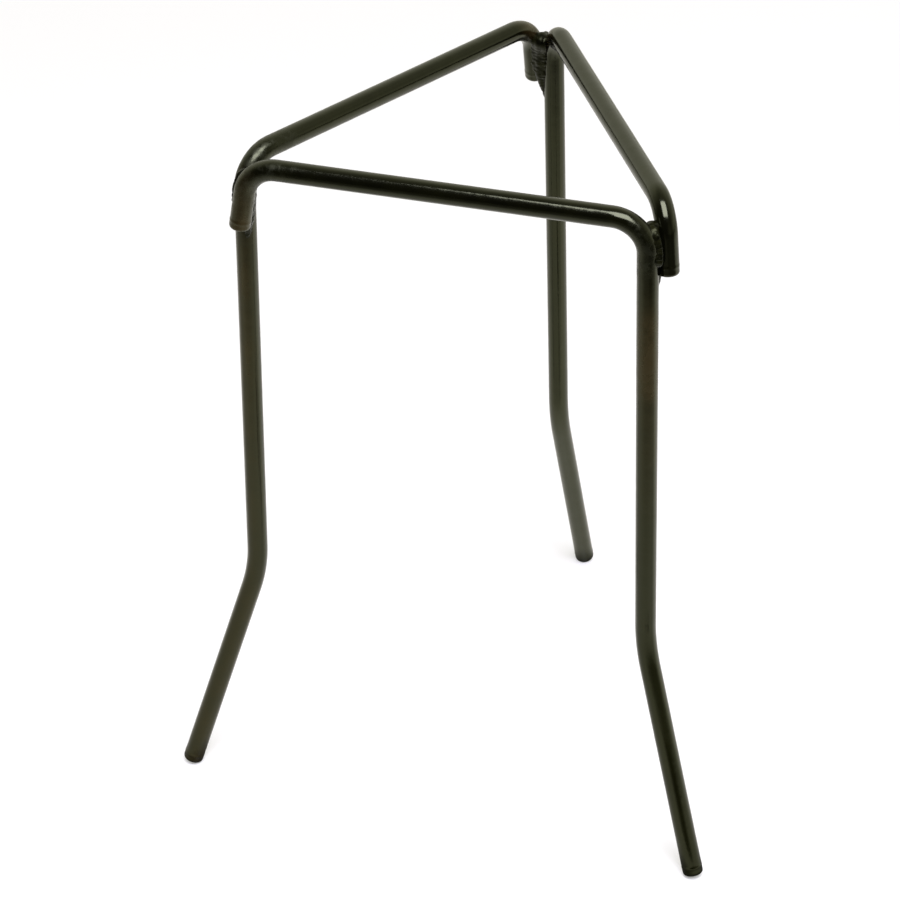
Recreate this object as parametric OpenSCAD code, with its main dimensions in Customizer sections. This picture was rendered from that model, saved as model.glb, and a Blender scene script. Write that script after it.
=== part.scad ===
// Laboratory tripod stand for a gauze over a burner.
// Three equal lengths of steel rod are each bent into a tab, a bar of the ring, a leg and
// a splayed foot. Each tab stands beside the next rod's leg and is welded to it.
// The origin is on the stand's centre line, at the floor. The front bar runs along +X.
// Lists of three hold one value for the front, the right and the left rod, which differ a
// little because they are bent by hand.

/* [Rod] */
// Diameter of the steel rod
rod_d = 6; // [5.5:0.1:6.5]
// Radius that the paint leaves round each cut end
end_round = 1; // [0.5:0.1:1.5]

/* [Ring] */
// Side of the triangle through the centre lines of the bars
ring_side = 125; // [110:1:150]
// Height of the centre lines of the bars over the floor
ring_h = 210; // [180:1:240]
// Gap that a leg leaves to the tab beside it, where both turn down from their bars
corner_gap = 0.7; // [0.7:0.1:1.5]
// Rise of each bar from its leg to its tab
bar_rise = [1, 1.8, 0]; // [0:0.1:2]

/* [Tabs] */
// Drop of the cut end below the bar
tab_drop = 19.3; // [17:0.1:22]
// Centre line radius of the bend from the bar into the tab
tab_bend_r = 9.5; // [8:0.5:11]
// Angle of each tab away from its bar
tab_lean = [10, 9, 10]; // [6:0.5:10.5]
// Angle of each tab out of the triangle
tab_cant = [1.5, 1, 5.5]; // [1:0.5:6]

/* [Legs] */
// Centre line radius of the bend from the bar into the leg
leg_bend_r = 10; // [8:0.5:12]
// Angle of the leg away from its bar
leg_lean = 0.8; // [0:0.1:1]
// Angle of the leg out of the triangle
leg_cant = 0.9; // [0.7:0.1:2]

/* [Feet] */
// Height over the floor of the knee's corner
knee_h = 71.5; // [55:0.5:90]
// Centre line radius of the bend at the knee
knee_bend_r = 50; // [20:1:60]
// Angle of the foot from upright
foot_splay = 18.5; // [12:0.5:25]
// Direction of the foot, turned outwards from its bar
foot_turn = 37; // [25:1:45]

/* [Welds] */
// Radius of the weld beads
bead_r = 2.2; // [2:0.1:2.6]
// Distance of the beads from the plane through leg and tab
bead_out = 1.4; // [1:0.1:1.6]
// Shift of the outer bead from the middle of its groove towards the leg
outer_shift = 0.5; // [0:0.1:0.8]
// Distance from one ripple of a bead to the next
ripple = 1.5; // [1.2:0.1:1.8]
// Depth below the bars at which the beads meet in the notch between leg and tab
weld_start = 4; // [3.5:0.5:5]
// Depth below the bars at which the outer bead ends
outer_end = 12; // [10:0.5:16]
// Run of the inner bead down the leg, past the cut end of the tab
tail = 5; // [3:0.5:6]
// Length over which the inner bead thins and sinks into the leg
thinning = 8; // [6:0.5:10]
// Share of its size that it loses over that length
tail_taper = 0.5; // [0.3:0.05:0.6]

/* [Hidden] */
$fn = 64;
enamel = "#3d3c30";
bead_enamel = "#45463c";
third = 120;
bar_offset = ring_side / sqrt(12);
bar_reach = ring_side / 2 - (rod_d + corner_gap);
foot_end_h = (rod_d / 2 - end_round) * sin(foot_splay) + end_round * (1 - cos(foot_splay));
bend_swell = 0.04;
seat = 0.4;

function unit(v) = v / norm(v);
function turned(p, angle) =
    [p.x * cos(angle) - p.y * sin(angle), p.x * sin(angle) + p.y * cos(angle), p.z];

// Corners of rod n's centre line and the ways that it runs from them, before rod n is
// turned into its place. All legs are bent alike, and each tab has its own slant.
leg_corner = [bar_reach, -bar_offset, ring_h];
leg_way = [tan(leg_lean), -tan(leg_cant), -1];
knee = leg_corner + (ring_h - knee_h) * leg_way;
foot_way = [tan(foot_splay) * cos(foot_turn), -tan(foot_splay) * sin(foot_turn), -1];
function tab_corner(n) = [-bar_reach, -bar_offset, ring_h + bar_rise[n]];
function tab_way(n) = [-tan(tab_lean[n]), -tan(tab_cant[n]), -1];
function rod_points(n) = [
    tab_corner(n) + tab_drop * tab_way(n),
    tab_corner(n),
    leg_corner,
    knee,
    knee + (knee_h - foot_end_h) * foot_way
];

// Length that a bend of radius r takes from the runs on each side of the corner at p
function setback(before, p, after, r) =
    r * tan(acos(unit(p - before) * unit(after - p)) / 2);

// Straight run of rod from one point to another. An end that is cut, not bent on into the
// next bend, has its edge rounded by the paint.
module straight(from, to, cut_start, cut_end) {
    run = norm(to - from);
    way = (to - from) / run;
    translate(from)
        rotate([0, acos(way.z), atan2(way.y, way.x)])
            rotate_extrude()
                difference() {
                    square([rod_d / 2, run]);
                    if (cut_start) edge_waste();
                    if (cut_end) translate([0, run]) mirror([0, 1]) edge_waste();
                }
}

// What the rounding takes off the corner of a straight run's profile
module edge_waste() {
    difference() {
        translate([rod_d / 2 - end_round, 0]) square(end_round);
        translate([rod_d / 2 - end_round, end_round]) circle(r = end_round);
    }
}

// Bend of centre line radius r at corner p, between the runs from before and to after.
// The steel swells by a hair as it bends, so the straight runs seat inside the bends.
module bend(before, p, after, r) {
    way_in = unit(p - before);
    way_out = unit(after - p);
    inwards = unit(way_out - way_in * (way_in * way_out));
    centre = p - way_in * setback(before, p, after, r) + inwards * r;
    axis = cross(way_in, inwards);
    multmatrix([
        [-inwards.x, way_in.x, axis.x, centre.x],
        [-inwards.y, way_in.y, axis.y, centre.y],
        [-inwards.z, way_in.z, axis.z, centre.z],
        [0, 0, 0, 1]
    ])
        rotate_extrude(angle = acos(way_in * way_out))
            translate([r, 0])
                circle(d = rod_d + bend_swell);
}

// Rod bent along a list of points, with the bend radius of each inner point
module bent_rod(points, radii) {
    last = len(points) - 1;
    backs = [
        0,
        for (i = [1:last - 1]) setback(points[i - 1], points[i], points[i + 1], radii[i - 1])
    ];
    for (i = [0:last - 1]) {
        way = unit(points[i + 1] - points[i]);
        from = i == 0 ? points[0] : points[i] + way * (backs[i] - seat);
        to = i == last - 1 ? points[last] : points[i + 1] - way * (backs[i + 1] - seat);
        straight(from, to, i == 0, i == last - 1);
    }
    for (i = [1:last - 1])
        bend(points[i - 1], points[i], points[i + 1], radii[i - 1]);
}

// Rod n in its place: the front, the right and the left rod are a third of a turn apart
module rod(n) {
    rotate([0, 0, third * n])
        bent_rod(rod_points(n), [tab_bend_r, leg_bend_r, knee_bend_r]);
}

// Centre lines of rod n's leg, and of the next rod's tab beside it, at a depth below the
// bars. Both start inwards of the straight run, round their bends.
function bend_in(depth, r) = depth < r ? r - sqrt(r ^ 2 - (r - depth) ^ 2) : 0;
function leg_at(depth) = leg_corner + depth * leg_way - [bend_in(depth, leg_bend_r), 0, 0];
function tab_at(n, depth) =
    let (next = (n + 1) % 3, run = depth + bar_rise[next])
    turned(tab_corner(next) + run * tab_way(next) + [bend_in(run, tab_bend_r), 0, 0], third);

// Middle of the bead between them: side is 1 outside the triangle, -1 inside, 0 in the notch
function bead_at(n, depth, side) =
    let (leg = leg_at(depth), tab = tab_at(n, depth), across = unit(tab - leg))
    (leg + tab) / 2 + side * bead_out * unit([across.y, -across.x, 0])
        - max(side, 0) * outer_shift * across;

// Share of its size that the inner bead has left at a depth
function left_at(depth) =
    1 - tail_taper * max(0, (depth - tab_drop - tail) / thinning + 1);

// Middle of the inner bead, which runs on down the leg below the tab and sinks into it
function inner_at(n, depth) =
    let (beside = min(depth, tab_drop), off_leg = bead_at(n, beside, -1) - leg_at(beside))
    leg_at(depth) + off_leg * left_at(depth);

// Weld at the corner of rod n's leg: an outer and an inner run of ripples, cut to the rods
module weld(n) {
    difference() {
        rotate([0, 0, third * n]) {
            translate(bead_at(n, weld_start, 0)) sphere(r = bead_r);
            for (depth = [weld_start:ripple:outer_end])
                translate(bead_at(n, depth, 1)) sphere(r = bead_r);
            for (depth = [weld_start:ripple:tab_drop + tail])
                translate(inner_at(n, depth)) sphere(r = bead_r * left_at(depth));
        }
        rod(n);
        rod((n + 1) % 3);
    }
}

module rod_front() { color(enamel) rod(0); }
module rod_right() { color(enamel) rod(1); }
module rod_left() { color(enamel) rod(2); }
module weld_front_right() { color(bead_enamel) weld(0); }
module weld_back() { color(bead_enamel) weld(1); }
module weld_front_left() { color(bead_enamel) weld(2); }

rod_front();
rod_right();
rod_left();
weld_front_right();
weld_back();
weld_front_left();
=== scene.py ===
import math

import bpy
import numpy as np
from mathutils import Matrix


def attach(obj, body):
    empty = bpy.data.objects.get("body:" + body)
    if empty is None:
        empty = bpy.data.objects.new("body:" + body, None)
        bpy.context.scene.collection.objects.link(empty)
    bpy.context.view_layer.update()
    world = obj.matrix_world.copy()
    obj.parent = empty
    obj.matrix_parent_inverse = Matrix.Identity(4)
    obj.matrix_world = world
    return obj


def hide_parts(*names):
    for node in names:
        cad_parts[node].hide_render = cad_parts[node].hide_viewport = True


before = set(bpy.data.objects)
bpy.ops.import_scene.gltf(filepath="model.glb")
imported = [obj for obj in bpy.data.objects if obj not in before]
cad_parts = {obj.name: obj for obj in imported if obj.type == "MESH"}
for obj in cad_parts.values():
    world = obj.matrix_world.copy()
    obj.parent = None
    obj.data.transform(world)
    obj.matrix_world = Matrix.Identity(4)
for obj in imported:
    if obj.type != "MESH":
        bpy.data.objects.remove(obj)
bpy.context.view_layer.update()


# ---- Viewpoint
# The stand is seen from in front and a little to the right, from well above its ring, through
# a long lens, so that the three legs stay nearly upright.
yaw, pitch, roll = (math.radians(angle) for angle in (16.725, 34.291, -1.22))
backward = np.array(
    [math.sin(yaw) * math.cos(pitch), -math.cos(yaw) * math.cos(pitch), math.sin(pitch)]
)
level = np.cross(-backward, [0, 0, 1])
level /= np.linalg.norm(level)
upright = np.cross(level, -backward)
rightward = math.cos(roll) * level + math.sin(roll) * upright
upward = -math.sin(roll) * level + math.cos(roll) * upright
lens = bpy.data.cameras.new("viewpoint")
lens.sensor_width, lens.lens = 36, 134.246
lens.clip_start, lens.clip_end = 0.05, 20
viewpoint = bpy.data.objects.new("viewpoint", lens)
pose = np.eye(4)
pose[:3, 0], pose[:3, 1], pose[:3, 2] = rightward, upward, backward
pose[:3, 3] = (0.224923, -0.785284, 0.660711)
viewpoint.matrix_world = Matrix(pose.tolist())
bpy.context.scene.collection.objects.link(viewpoint)
bpy.context.scene.camera = viewpoint
bpy.context.scene.view_settings.view_transform = "Standard"


# ---- Room
# A pale floor, white surroundings, one large soft lamp high on the right of the front, and a dim part
# of the room in front, which is what makes glossy black enamel look black. Part of that dimness is
# painted shade, in the floor's tone and in a black card that only reflections see.
class Field:
    """A value that varies over a surface, held as the socket that gives it. Arithmetic with
    numbers or other fields adds Math nodes, and node() adds any other node."""

    def __init__(self, socket):
        self.socket = socket

    def node(self, kind, settings=None, inputs=None, output=0):
        """Adds a node of a kind: its settings first, then its inputs, given by name or number,
        each a plain value or another field. Gives the field of one of its outputs."""
        new = self.socket.id_data.nodes.new("ShaderNode" + kind)
        for name, value in (settings or {}).items():
            setattr(new, name, value)
        for name, value in (inputs or {}).items():
            if isinstance(value, Field):
                new.id_data.links.new(value.socket, new.inputs[name])
            else:
                new.inputs[name].default_value = value
        return Field(new.outputs[output])

    def math(self, operation, *values):
        """Adds a Math node that works on plain values or fields."""
        return self.node("Math", {"operation": operation}, dict(enumerate(values)))

    def __add__(self, other):
        return self.math("ADD", self, other)

    __radd__ = __add__

    def __sub__(self, other):
        return self.math("SUBTRACT", self, other)

    def __rsub__(self, other):
        return self.math("SUBTRACT", other, self)

    def __mul__(self, other):
        return self.math("MULTIPLY", self, other)

    __rmul__ = __mul__

    def larger(self, other):
        """The larger of two fields at each place."""
        return self.math("MAXIMUM", self, other)

    def part(self, axis):
        """The X, Y or Z of a direction or place."""
        return self.node("SeparateXYZ", None, {0: self}, output=axis)

    def dot(self, direction):
        """How far a place lies along a direction."""
        return self.node("VectorMath", {"operation": "DOT_PRODUCT"}, {0: self, 1: direction}, output=1)

    def near(self, centre, outer, inner):
        """Rises smoothly from 0 at one distance from a centre to 1 at a smaller one."""
        apart = self.node("VectorMath", {"operation": "DISTANCE"}, {0: self, 1: centre}, output=1)
        return apart.ramp(outer, inner)

    def ramp(self, low, high):
        """Rises smoothly from 0 where the field is low to 1 where it is high."""
        settings = {"interpolation_type": "SMOOTHSTEP"}
        return self.node("MapRange", settings, {"Value": self, "From Min": low, "From Max": high})

    def blend(self, first, second):
        """The first colour where the field is 0, the second where it is 1."""
        settings = {"data_type": "RGBA"}
        return self.node("Mix", settings, {0: self, 6: first, 7: second}, output=2)


def from_front(azimuth, elevation):
    """Direction at an azimuth from the front, counted towards the right, and an elevation."""
    azimuth, elevation = math.radians(azimuth), math.radians(elevation)
    return (
        math.sin(azimuth) * math.cos(elevation),
        -math.cos(azimuth) * math.cos(elevation),
        math.sin(elevation),
    )


# The room is white where it is seen straight or through something. For reflections and for
# its light it is bright behind, dimmer high up and on the right, and nearly dark in front.
world = bpy.data.worlds.new("room")
bpy.context.scene.world = world
world.use_nodes = True
world.node_tree.nodes.clear()
sky = Field(world.node_tree.nodes.new("ShaderNodeTexCoord").outputs["Generated"])
aside, behind, above = (sky.part(axis) for axis in "XYZ")
level_light = 0.03 + behind.ramp(-0.55, 0.5) * 0.92
level_light = level_light + aside.ramp(0.3, 0.8) * behind.ramp(-0.2, -0.7) * 0.2
level_light = level_light * (1 - aside.ramp(0.0, 0.6) * above.ramp(0.1, 0.5) * 0.35)
room_light = level_light * (1 - above.ramp(0.65, 1.0) * 0.6)
seen_straight = sky.node("LightPath", output="Is Camera Ray")
seen_through = sky.node("LightPath", output="Is Transmission Ray")
white = seen_straight.larger(seen_through)
brightness = room_light + white * (1 - room_light)
hue = white.blend((1, 0.99, 0.86, 1), (1, 1, 1, 1))
light = sky.node("Background", None, {"Color": hue, "Strength": brightness})
world_end = world.node_tree.nodes.new("ShaderNodeOutputWorld")
world.node_tree.links.new(light.socket, world_end.inputs["Surface"])


def soft_lamp(name, azimuth, elevation, distance, width, height, radiance, aim):
    """Flat lamp of a width and height, at a distance and direction from the point it faces."""
    lamp = bpy.data.lights.new(name, "AREA")
    lamp.shape, lamp.size, lamp.size_y = "RECTANGLE", width, height
    lamp.energy = radiance * math.pi * width * height
    lamp.color = (1.0, 0.985, 1.30)
    holder = bpy.data.objects.new(name, lamp)
    way = np.array(from_front(azimuth, elevation))
    across = np.cross([0, 0, 1], way)
    across /= np.linalg.norm(across)
    place = np.eye(4)
    place[:3, 0], place[:3, 1], place[:3, 2] = across, np.cross(way, across), way
    place[:3, 3] = np.array(aim) + distance * way
    holder.matrix_world = Matrix(place.tolist())
    bpy.context.scene.collection.objects.link(holder)


soft_lamp("key_lamp", 24.2, 62, 1.2, 0.90, 0.8, 9.8, (0.035, 0, 0.15))


def bare_material(name):
    """Material with no shader yet, and the field of its Object coordinates."""
    material = bpy.data.materials.new(name)
    material.use_nodes = True
    material.node_tree.nodes.clear()
    return material, Field(material.node_tree.nodes.new("ShaderNodeTexCoord").outputs["Object"])


def close_material(material, shader):
    """Makes a shader the whole surface of a bare material."""
    end = material.node_tree.nodes.new("ShaderNodeOutputMaterial")
    material.node_tree.links.new(shader.socket, end.inputs["Surface"])


def flat(name, corners, material):
    """Flat four-sided sheet of the studio, which isn't part of the stand."""
    mesh = bpy.data.meshes.new(name)
    mesh.from_pydata(corners, [], [(0, 1, 2, 3)])
    mesh.materials.append(material)
    sheet = bpy.data.objects.new(name, mesh)
    bpy.context.scene.collection.objects.link(sheet)
    return sheet


# The floor is pale satin, whiter far from the stand. For all but the camera its tone is painted light
# and shade: lighter behind, darker in front and at the far right of the front, with a painted contact
# shadow close round the feet.
floor_material, spot = bare_material("floor")
seen = spot.node("LightPath", output="Is Camera Ray")
# Painted light and shade in the floor's tone: lighter behind, darker in front and at the far right of
# the front.
back = spot.part("Y").ramp(-0.055, 0.015)
painted_front_shade = spot.dot(from_front(15, 0)).ramp(0.14, 0.40) * 0.45
painted_right_shade = spot.part("X").ramp(0.14, 0.34) * (1 - back) * 0.16
floor_painted_shade = (0.57 + back * 0.33 - (painted_front_shade + painted_right_shade)).larger(0.05)
# Painted contact shadow close round each foot.
painted_foot_shadow = seen * 0
for x, y, size in ((0.0768, -0.0527, 0.020), (0.0072, 0.0929, 0.009), (-0.0840, -0.0402, 0.015)):
    painted_foot_shadow = painted_foot_shadow.larger(spot.near((x, y, 0), size, size * 0.3))
floor_painted_shade = floor_painted_shade * (1 - painted_foot_shadow * 0.85)
warm = seen.node("VectorMath", {"operation": "SCALE"}, {0: (1, 0.99, 0.80), 3: floor_painted_shade})
pale = seen.blend(warm, (0.98, 0.97, 0.85, 1))
satin = seen.node("BsdfPrincipled", None, {"Base Color": pale, "Roughness": 0.35, "IOR": 1.5})
glow = seen.node("Emission", None, {"Color": (1, 1, 1, 1), "Strength": 1.1})
far = 1 - spot.near((0, 0, 0), 1.2, 0.3)
glowing = seen * (0.33 + far * 0.67)
close_material(floor_material, seen.node("MixShader", None, {0: glowing, 1: satin, 2: glow}))
flat("floor", [(-6, -6, 0), (6, -6, 0), (6, 6, 0), (-6, 6, 0)], floor_material)

# A low black card that only reflections see paints shade into the front foot's reflection, keeping
# that foot as dark as its neighbours. It fades out towards its two ends.
reflection_shade_card, spot = bare_material("reflection_shade_card")
from_middle = spot.dot((0.932, 0.363, 0)) - 0.0513  # along the card
fade = from_middle.math("ABSOLUTE", from_middle).ramp(0.038, 0.004) * 0.97
black = spot.node("BsdfDiffuse", None, {"Color": (0.01, 0.01, 0.01, 1)})
clear = spot.node("BsdfTransparent")
close_material(reflection_shade_card, spot.node("MixShader", None, {0: fade, 1: clear, 2: black}))
card_start, card_stop, card_h = (0.056, -0.107), (0.127, -0.080), 0.035
corners = [(*card_start, 0), (*card_stop, 0), (*card_stop, card_h), (*card_start, card_h)]
card = flat("reflection_shade_card", corners, reflection_shade_card)
card.visible_camera = card.visible_diffuse = card.visible_shadow = card.visible_transmission = False


# ---- Rods
# Three equal lengths of 6 mm mild steel rod, cold bent by hand into a tab, a bar of the ring,
# a leg and a foot, then dipped in black enamel, which rounds and thickens their cut ends.
MM = 0.001
rod_r = 3.0
end_round = 1.0
ring_side = 125.0
ring_h = 210.0
corner_inset = 6.7  # from the corner of the triangle to the leg's centre line
bar_rise = (1.0, 1.8, 0.0)
tab_drop, tab_bend_r = 19.3, 9.5
tab_lean, tab_cant = (10.0, 9.0, 10.0), (1.5, 1.0, 5.5)
leg_bend_r, leg_lean, leg_cant = 10.0, 0.8, 0.9
knee_h, knee_bend_r = 71.5, 50.0
foot_splay, foot_turn = 18.5, 37.0


def slope(angle):
    """Run across for each unit of drop, at an angle from upright in degrees."""
    return math.tan(math.radians(angle))


def unit(v):
    """Rows of vectors, each brought to length 1."""
    return v / np.linalg.norm(v, axis=-1, keepdims=True)


def turned(points, thirds):
    """Points turned about the stand's centre line by a number of thirds of a turn."""
    angle = math.radians(120 * thirds)
    c, s = math.cos(angle), math.sin(angle)
    return points @ np.array([[c, s, 0], [-s, c, 0], [0, 0, 1]])


bar_offset = ring_side / math.sqrt(12)
bar_reach = ring_side / 2 - corner_inset
leg_corner = np.array([bar_reach, -bar_offset, ring_h])
leg_way = np.array([slope(leg_lean), -slope(leg_cant), -1])
knee = leg_corner + (ring_h - knee_h) * leg_way
splay, turn = math.radians(foot_splay), math.radians(foot_turn)
foot_way = np.array([math.tan(splay) * math.cos(turn), -math.tan(splay) * math.sin(turn), -1])
foot_end_h = (rod_r - end_round) * math.sin(splay) + end_round * (1 - math.cos(splay))


def tab_corner(n):
    """Where the lines of rod n's bar and tab meet."""
    return np.array([-bar_reach, -bar_offset, ring_h + bar_rise[n]])


def tab_way(n):
    """Way that rod n's tab runs down, to a drop of 1."""
    return np.array([-slope(tab_lean[n]), -slope(tab_cant[n]), -1])


def rod_corners(n):
    """Corners of rod n's centre line in millimetres, before it is turned into its place."""
    return [
        tab_corner(n) + tab_drop * tab_way(n),
        tab_corner(n),
        leg_corner,
        knee,
        knee + (knee_h - foot_end_h) * foot_way,
    ]


def run_along(points):
    """Distance of each point of a line from its first, along the line."""
    return np.append(0, np.cumsum(np.linalg.norm(np.diff(points, axis=0), axis=1)))


def read_off(stations, run, values):
    """Rows of values, known at distances along a run, read off at other stations of it."""
    return np.stack([np.interp(stations, run, column) for column in values.T], -1)


def centre_line(corners, radii, step):
    """Points about a step apart on the runs between corners and the arcs that round them, with
    two unit vectors across the line at each point, which don't twist as it bends."""
    corners = [np.asarray(c, float) for c in corners]
    ways = [unit(b - a) for a, b in zip(corners, corners[1:])]
    half = [math.acos(np.clip(a @ b, -1, 1)) / 2 for a, b in zip(ways, ways[1:])]
    backs = [0] + [r * math.tan(h) for r, h in zip(radii, half)] + [0]
    side = unit(np.cross(ways[0], ways[1]))
    other = np.cross(ways[0], side)
    points, sides, others = [], [], []
    for i, way in enumerate(ways):
        start, stop = corners[i] + way * backs[i], corners[i + 1] - way * backs[i + 1]
        count = int(np.linalg.norm(stop - start) / step) + 2
        share = np.linspace(0, 1, count, endpoint=False)[:, None]
        points.append(start + share * (stop - start))
        sides.append(np.repeat(side[None], count, 0))
        others.append(np.repeat(other[None], count, 0))
        if i == len(ways) - 1:
            points.append(stop[None])
            sides.append(side[None])
            others.append(other[None])
            break
        axis = unit(np.cross(way, ways[i + 1]))
        centre = stop + radii[i] * np.cross(axis, way)
        count = int(2 * half[i] * radii[i] / step) + 2
        angle = np.linspace(0, 2 * half[i], count, endpoint=False)[:, None]

        def swing(v):
            along = (v @ axis) * axis
            return along + np.cos(angle) * (v - along) + np.sin(angle) * np.cross(axis, v)

        points.append(centre + swing(stop - centre))
        sides.append(swing(side))
        others.append(swing(other))
        last = 2 * half[i]
        side, other = (
            (v @ axis) * axis
            + math.cos(last) * (v - (v @ axis) * axis)
            + math.sin(last) * np.cross(axis, v)
            for v in (side, other)
        )
    return np.concatenate(points), np.concatenate(sides), np.concatenate(others)


def tube(name, rings, seam_uv):
    """Closed tube through rings of points, an array of rings by points by x, y, z. The first and
    last rings have no size, and each becomes one point. Its map runs along, 1 to 100 mm, and
    round, 1 to a turn."""
    poles, tips = rings[[0, -1], 0], seam_uv[[0, -1]]
    rings, seam_uv = rings[1:-1], seam_uv[1:-1]
    count, around = rings.shape[:2]
    verts = np.concatenate([rings.reshape(-1, 3), poles]) * MM
    i, j = np.meshgrid(np.arange(count - 1), np.arange(around), indexing="ij")
    k = (j + 1) % around
    quads = np.stack([i * around + j, i * around + k, (i + 1) * around + k, (i + 1) * around + j], -1)
    quads = quads.reshape(-1, 4)
    j = np.arange(around)
    k = (j + 1) % around
    first = np.stack([np.full(around, count * around), k, j], -1)
    base = (count - 1) * around
    final = np.stack([np.full(around, count * around + 1), base + j, base + k], -1)
    mesh = bpy.data.meshes.new(name)
    mesh.from_pydata(verts.tolist(), [], quads.tolist() + first.tolist() + final.tolist())
    mesh.polygons.foreach_set("use_smooth", np.ones(len(mesh.polygons), bool))
    corner = np.zeros(len(mesh.loops), np.int32)
    mesh.loops.foreach_get("vertex_index", corner)
    along = np.append(np.repeat(seam_uv, around), tips)[corner]
    round_share = np.append(np.tile(np.arange(around) / around, count), [0, 0])[corner]
    wrap = np.zeros(len(corner))
    quad_corners = len(quads) * 4
    past_seam = np.tile([False, True, True, False], len(quads)) & (corner[:quad_corners] % around == 0)
    wrap[:quad_corners] = past_seam
    uv = np.stack([along * MM * 10, round_share + wrap], -1)
    layer = mesh.uv_layers.new(name="length_and_round")
    layer.data.foreach_set("uv", uv.astype(np.float32).ravel())
    piece = bpy.data.objects.new(name, mesh)
    bpy.context.scene.collection.objects.link(piece)
    return piece


def waves(along, angle, seed, lengths, turns):
    """Sum of smooth waves along and round a rod, between about -1 and 1."""
    chance = np.random.default_rng(seed)
    total = np.zeros(np.broadcast(along, angle).shape)
    for length, turn in zip(lengths, turns):
        a, b = chance.uniform(0, 2 * np.pi, 2)
        strength = 0.7 + 0.3 * np.sin(along / length + b)
        total = total + np.sin(2 * np.pi * along / length + turn * angle + a) * strength
    return total / len(lengths)


around = 72  # points in each ring
wave_h = 0.016  # height of the slow waves in the enamel
ridge_h, ridge_at, ridge_w = 0.07, 2.7, 0.45  # ridge of enamel near each cut end


def rod_rings(n):
    """Rings of rod n. The radius at a place is the rod's own, less the quarter circle that
    rounds each cut end, plus the enamel's waves and the ridge where it drained to the end."""
    points, side, other = centre_line(rod_corners(n), (tab_bend_r, leg_bend_r, knee_bend_r), 0.8)
    run = run_along(points)
    total = run[-1]
    end_zone = 5
    fine = [np.linspace(0, 1, 10) ** 1.6 * end_round, np.linspace(end_round, end_zone, 26)[1:]]
    fine = np.concatenate(fine)
    middle = run[(run > end_zone) & (run < total - end_zone)]
    stations = np.unique(np.concatenate([fine, middle, total - fine]))
    points, side, other = (read_off(stations, run, values) for values in (points, side, other))
    side, other = unit(side), unit(other)
    from_end = np.minimum(stations, total - stations)[:, None]
    short = np.clip(end_round - from_end, 0, end_round)
    angle = np.arange(around) / around * 2 * np.pi
    radius = rod_r - end_round + np.sqrt(end_round**2 - short**2)
    inside = np.clip(from_end / (2 * end_round), 0, 1)
    lengths, turns = (31, 17, 11, 7.3, 5.1), (1, -2, 3, -1, 2)
    enamel_waves = wave_h * waves(stations[:, None], angle, 10 + n, lengths, turns)
    ridge = ridge_h * np.exp(-(((from_end - ridge_at) / ridge_w) ** 2))
    radius = radius + inside * enamel_waves + ridge
    rings = points[:, None] + radius[..., None] * (
        np.cos(angle)[None, :, None] * side[:, None] + np.sin(angle)[None, :, None] * other[:, None]
    )
    cap = np.linspace(0, 1, 6, endpoint=False)
    start = points[0] + cap[:, None, None] * (rings[0] - points[0])
    finish = points[-1] + cap[::-1, None, None] * (rings[-1] - points[-1])
    rings = np.concatenate([start, rings, finish])
    stations = np.concatenate([np.zeros(len(cap)), stations, np.full(len(cap), total)])
    return turned(rings, n), stations


def new_finish(name):
    """Material of that name, its Principled shader and the field of its Object coordinates."""
    material = bpy.data.materials.new(name)
    material.use_nodes = True
    nodes = material.node_tree.nodes
    place = Field(nodes.new("ShaderNodeTexCoord").outputs["Object"])
    return material, nodes["Principled BSDF"], place


def noise(place, scale, detail=2.0, roughness=0.5):
    """Cloudy field between 0 and 1, with about scale patches to the metre."""
    inputs = {"Vector": place, "Scale": scale, "Detail": detail, "Roughness": roughness}
    return place.node("TexNoise", None, inputs)


def feed(shader, socket, field):
    """Links a field to a socket of a shader."""
    shader.id_data.links.new(field.socket, shader.inputs[socket])


enamel, enamel_shader, place = new_finish("enamel")
height = place.part("Z")
level_place = place.node("VectorMath", {"operation": "MULTIPLY"}, {0: place, 1: (1, 1, 0)})
reach_out = level_place.node("VectorMath", {"operation": "LENGTH"}, {0: level_place}, output=1)
on_leg = reach_out.ramp(0.050, 0.064) * height.ramp(0.200, 0.175)
patches = noise(place, 28, 3).ramp(0.42, 0.62)
mottle = noise(place, 160, 3).ramp(0.35, 0.7)
olive = patches * 0.08 + mottle * 0.10 + on_leg * 0.42
colour = olive.blend((0.0012, 0.0012, 0.0004, 1), (0.0110, 0.0115, 0.0024, 1))

# The outer sides of the legs are browner, most of all on the left and high up, and the heat of welding
# has stained the enamel in three places.
leg_reach = 0.0664 + (0.210 - height) * 0.0203  # the legs lean out from the middle as they drop
outer_side = (reach_out - leg_reach).ramp(-0.003, 0.003)
to_left = place.part("X").ramp(0.01, -0.01)
brown_outer_sides = outer_side * on_leg * (to_left * 0.5 + height.ramp(0.10, 0.15) * 0.3) * (0.6 + mottle * 0.4)
scorch = noise(place, 75, 4, 0.6).ramp(0.40, 0.60)
heated = scorch * 0
for *centre, size in (
    (-0.064, -0.042, 0.195, 0.021),
    (0.060, -0.038, 0.168, 0.022),
    (0, 0.070, 0.214, 0.014),
):
    heated = heated.larger(place.near(centre, size, size * 0.4))
brown = brown_outer_sides.larger(heated * (0.45 + scorch * 0.4))
feed(enamel_shader, "Base Color", brown.blend(colour, (0.034, 0.0215, 0.006, 1)))

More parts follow.
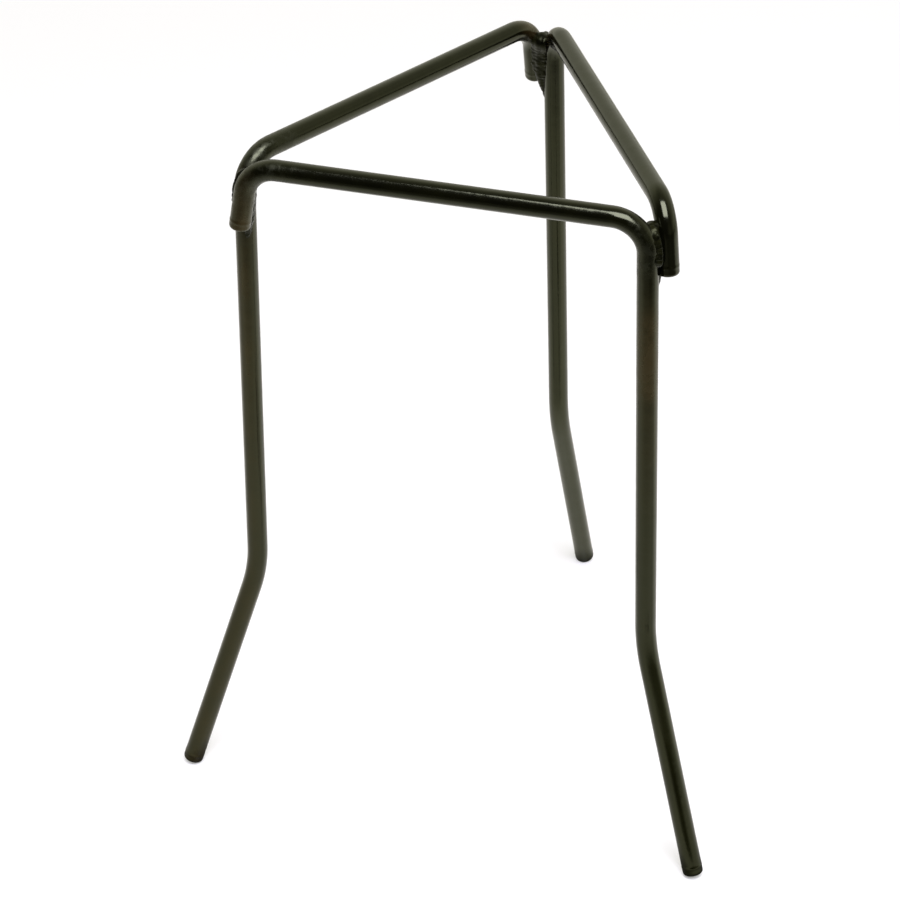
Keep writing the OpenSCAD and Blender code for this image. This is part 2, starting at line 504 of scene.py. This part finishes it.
# Beside the two front welds the gloss is dulled by spatter under the enamel.
left_weld = place.near((-0.056, -0.030, 0.212), 0.021, 0.011)
right_weld = place.near((0.053, -0.039, 0.202), 0.010, 0.006)
spatter = noise(place, 420, 3, 0.6).ramp(0.42, 0.62)
dull = heated * scorch * 0.16 + left_weld.larger(right_weld) * (0.07 + spatter * 0.22)
uneven = noise(place, 60, 3) * 0.10 + noise(place, 1500, 2) * 0.05
feed(enamel_shader, "Roughness", 0.07 + uneven + dull)
enamel_shader.inputs["IOR"].default_value = 1.5
enamel_shader.inputs["Specular Tint"].default_value = (0.95, 1, 0.58, 1)
peel = noise(place, 800, 1.5)
swell = noise(place, 210, 2)
bump = place.node("Bump", None, {"Strength": 1.0, "Distance": 0.00005, "Height": peel * 0.3 + swell})
feed(enamel_shader, "Normal", bump)

for n, node in enumerate(("rod_front", "rod_right", "rod_left")):
    rings, stations = rod_rings(n)
    rod = tube(node + "_enamelled", rings, stations)
    rod.data.materials.append(enamel)
    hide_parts(node)
    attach(rod, "root")


# ---- Welds
# At each corner one rod's tab stands beside the next rod's leg. A run of steel weld joins them:
# up the inner groove, over the notch under the ring, and down the outer groove. It is laid as
# pools of metal, each over the edge of the last, and is enamelled with the rods.
bead_r, bead_out, outer_shift = 2.2, 1.4, 0.5
weld_start, outer_end = 4.0, 12.0
tail, thinning, tail_taper = 5.0, 8.0, 0.5


def bend_in(depth, radius):
    """How far inwards of the straight run a rod's centre line still is at a depth in its bend."""
    return radius - math.sqrt(radius**2 - (radius - depth) ** 2) if depth < radius else 0.0


def leg_at(depth):
    """Centre line of the leg at a depth below the ring's bars."""
    return leg_corner + depth * leg_way - [bend_in(depth, leg_bend_r), 0, 0]


def tab_at(n, depth):
    """Centre line of the tab beside rod n's leg, at a depth below the ring's bars."""
    following = (n + 1) % 3
    run = depth + bar_rise[following]
    in_bend = np.array([bend_in(run, tab_bend_r), 0, 0])
    return turned(tab_corner(following) + run * tab_way(following) + in_bend, 1)


def bead_at(n, depth, side):
    """Middle of the bead at a depth: side is 1 outside the triangle, -1 inside, 0 in the notch."""
    leg, tab = leg_at(depth), tab_at(n, depth)
    across = unit(tab - leg)
    outwards = unit(np.array([across[1], -across[0], 0]))
    return (leg + tab) / 2 + side * bead_out * outwards - max(side, 0) * outer_shift * across


def left_at(depth):
    """Share of its size that the inner bead has left where it thins out down the leg."""
    return 1 - tail_taper * max(0, (depth - tab_drop - tail) / thinning + 1)


def inner_at(n, depth):
    """Middle of the inner bead, which runs on down the leg below the tab and sinks into it."""
    beside = min(depth, tab_drop)
    return leg_at(depth) + (bead_at(n, beside, -1) - leg_at(beside)) * left_at(depth)


def smooth(values, width):
    """Running average of rows with a bell-shaped window, its ends kept where they are."""
    reach = int(3 * width)
    window = np.exp(-0.5 * (np.arange(-reach, reach + 1) / width) ** 2)
    window /= window.sum()
    before = 2 * values[:1] - values[reach:0:-1]
    after = 2 * values[-1:] - values[-2 : -reach - 2 : -1]
    padded = np.concatenate([before, values, after])
    return np.stack([np.convolve(padded[:, c], window, "valid") for c in range(values.shape[1])], -1)


def weld_line(n):
    """Middle of the weld at rod n's leg, a hairpin over the notch, drawn out to a point at both
    ends. At each place it has a radius, a side, a share of full toes and a share of closing,
    which falls to 0 at the ends as on a half ball."""
    step, fine_step, blur, tip_rings = 0.4, 0.12, 6, 13
    arch = 0.3  # how far the line rises over the notch
    up = np.arange(tab_drop + tail, weld_start, -step)
    down = np.arange(weld_start + step, outer_end, step)
    path = [(inner_at(n, d), bead_r * left_at(d), -1, 2 * left_at(d) - 1) for d in up]
    sides = np.linspace(-1, 1, 9)
    path += [(bead_at(n, weld_start - arch * (1 - s * s), s), bead_r, s, 1) for s in sides]
    path += [(bead_at(n, d, 1), bead_r, 1, 1) for d in down]
    points = np.array([row[0] for row in path])
    traits = np.array([row[1:] for row in path])
    run = run_along(points)
    stations = np.arange(0, run[-1], fine_step)
    line, traits = (smooth(read_off(stations, run, values), blur) for values in (points, traits))
    along = unit(np.gradient(line, axis=0))
    lead = 1 - np.cos(np.linspace(0, np.pi / 2, tip_rings, endpoint=False))[:, None]
    low = line[0] - along[0] * traits[0, 0] * (1 - lead)
    high = line[-1] + along[-1] * traits[-1, 0] * (1 - lead[::-1])
    closing = np.sqrt(1 - (1 - lead[:, 0]) ** 2)
    closing = np.concatenate([closing, np.ones(len(line)), closing[::-1]])
    line = np.concatenate([low, line, high])
    first, last = np.repeat(traits[:1], tip_rings, 0), np.repeat(traits[-1:], tip_rings, 0)
    traits = np.concatenate([first, traits, last])
    return line, traits.T, closing


def weld_rings(n):
    """Rings of the weld at rod n's leg. Each is a low crown whose toes run out over both rods,
    and on the outside it lies lower towards the tab. Its radius at a place swells and sinks
    with each pool of metal, whose front edge bows forwards."""
    line, (radius, side, full), closing = weld_line(n)
    along = unit(np.gradient(line, axis=0))
    mid_depth = 12
    crest = unit(np.cross(along, unit(tab_at(n, mid_depth) - leg_at(mid_depth))))
    over = np.cross(crest, along)
    angle = np.arange(around) / around * 2 * np.pi - np.pi
    run = run_along(line)

    chance = np.random.default_rng(40 + n)
    edges = np.cumsum(chance.uniform(0.8, 1.7, 70)) - 2
    bow = run[:, None] + 0.5 * (1 - np.cos(angle)) + 0.15 * np.sin(2 * angle + 0.9 * run[:, None])
    pool = np.searchsorted(edges, bow.ravel()).reshape(bow.shape)
    share = (bow - edges[pool - 1]) / (edges[pool] - edges[pool - 1])
    crown = np.sin(np.pi * share) ** 0.7 - 1
    lift = smooth(chance.uniform(-0.25, 0.0, (71, 1)), 0.7)[:, 0]
    lumps = waves(run[:, None], angle, 70 + n, (6.3, 4.1, 2.9, 2.1, 1.3), (1, -1, 2, -3, 3))
    ripple_h = 0.10 + 0.04 * side[:, None]
    sag = np.interp(bow, edges, lift[:-1]) + ripple_h * crown + 0.14 * lumps

    leg_toe = (0.75 + 0.35 * waves(run, 0, 90 + n, (5.3, 3.1, 1.7), (0, 0, 0))) * full
    tab_toe = (0.75 + 0.35 * waves(run, 0, 94 + n, (4.7, 2.7, 1.9), (0, 0, 0))) * full
    above_tab_end = np.clip((line[:, 2] - (ring_h - tab_drop + 3.5)) / 2, 0, 1)
    tab_toe = tab_toe * np.interp(side, (-1, 0, 1), (1, 0.7, 0.1)) * above_tab_end
    toe = np.where(angle > 0, tab_toe[:, None], leg_toe[:, None])
    toe = toe * np.exp(-(((np.abs(angle) - 1.05) / 0.36) ** 2))

    thick = radius[:, None] * (1 - 0.3 * np.clip(-np.cos(angle), 0, 1))
    relief = np.minimum(radius[:, None], 1.5) / 1.5 * (sag + toe)
    slim = 1 - 0.5 * np.clip(side, 0, 1)[:, None] * np.clip(np.sin(angle), 0, 1) ** 0.7
    reach = (thick + closing[:, None] * relief) * closing[:, None] * slim
    rings = line[:, None] + reach[..., None] * (
        np.cos(angle)[None, :, None] * crest[:, None] + np.sin(angle)[None, :, None] * over[:, None]
    )
    return turned(rings[:, ::-1], n), run


weld_enamel, weld_shader, place = new_finish("weld_enamel")
cinder = noise(place, 520, 4, 0.6).ramp(0.36, 0.66)
colour = cinder.blend((0.0010, 0.0010, 0.0004, 1), (0.0078, 0.0080, 0.0022, 1))
feed(weld_shader, "Base Color", colour)
feed(weld_shader, "Roughness", 0.17 + noise(place, 700, 3) * 0.18)
weld_shader.inputs["IOR"].default_value = 1.45
weld_shader.inputs["Specular IOR Level"].default_value = 0.2
weld_shader.inputs["Specular Tint"].default_value = (0.95, 1, 0.5, 1)
grit = noise(place, 1300, 4, 0.6) + noise(place, 430, 2)
bump = place.node("Bump", None, {"Strength": 0.7, "Distance": 0.0001, "Height": grit})
feed(weld_shader, "Normal", bump)

for n, node in enumerate(("weld_front_right", "weld_back", "weld_front_left")):
    rings, run = weld_rings(n)
    bead = tube(node + "_bead", rings, run)
    bead.data.materials.append(weld_enamel)
    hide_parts(node)
    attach(bead, "root")
